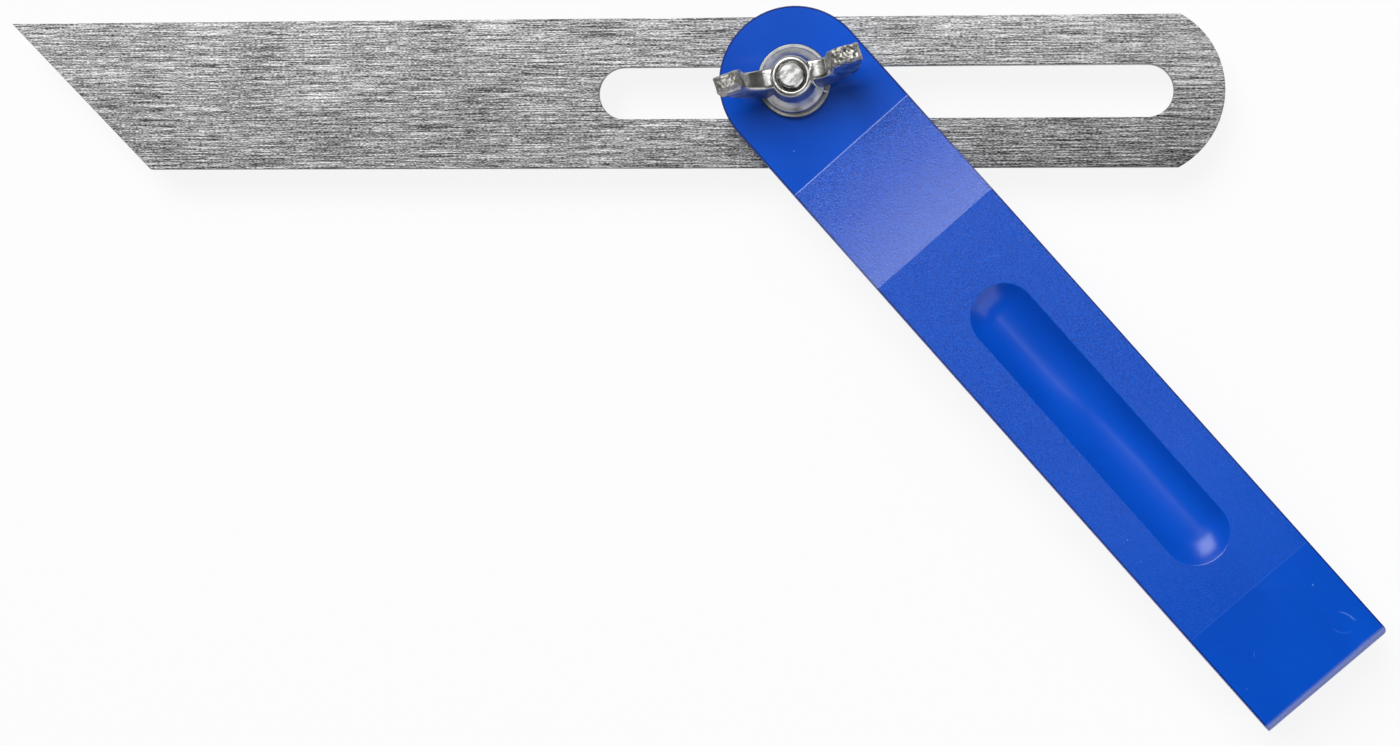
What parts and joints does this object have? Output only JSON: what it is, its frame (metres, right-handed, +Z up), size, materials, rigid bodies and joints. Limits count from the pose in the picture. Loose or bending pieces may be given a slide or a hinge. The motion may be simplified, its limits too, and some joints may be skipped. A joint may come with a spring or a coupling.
{
  "type": "sliding bevel",
  "caption": "Sliding T-bevel for copying and marking angles: a slotted steel blade turns and slides in a moulded plastic stock and is locked by a wing nut",
  "frame": {"origin": "on the pivot axis, in the plane of the stock's underside, which the bolt's hexagon head lies flush with", "axes": "+X along the blade towards its rounded tail, +Y across the blade, +Z up along the pivot bolt towards the wing nut"},
  "size_m": [0.2854, 0.1457, 0.0298],
  "materials": {
    "stock": "blue ABS, finely textured grip between polished pads",
    "blade": "ground along its length, bright, unpainted",
    "pivot_bolt": "bright zinc plate",
    "pivot_bush": "bright zinc plate",
    "washer": "bright zinc plate",
    "wing_nut": "zinc plate over a rough casting"
  },
  "bodies": {
    "stock": {"stock": "stock", "pivot_bolt": "pivot_bolt"},
    "bush": {"pivot_bush": "pivot_bush"},
    "blade": {"blade": "blade"},
    "washer": {"washer": "washer"},
    "wing_nut": {"wing_nut": "wing_nut"}
  },
  "joints": [
    {"name": "blade_pivot", "type": "hinge", "parent": "stock", "child": "bush", "pos_m": [0, 0, 0.0083], "axis": [0, 0, 1], "range_deg": [-6, 118]},
    {"name": "blade_slide", "type": "slide", "parent": "bush", "child": "blade", "axis": [1, 0, 0], "range_m": [-0.0712, 0.0355]},
    {"name": "nut_lift", "type": "slide", "parent": "stock", "child": "washer", "axis": [0, 0, 1], "range_m": [0, 0.0016]},
    {"name": "nut_turn", "type": "hinge", "parent": "washer", "child": "wing_nut", "pos_m": [0, 0, 0.0162], "axis": [0, 0, 1], "range_deg": [0, 720]}
  ],
  "couplings": [
    {"joint": "nut_turn", "follows": "nut_lift", "rad_per_m": 7853.9}
  ]
}
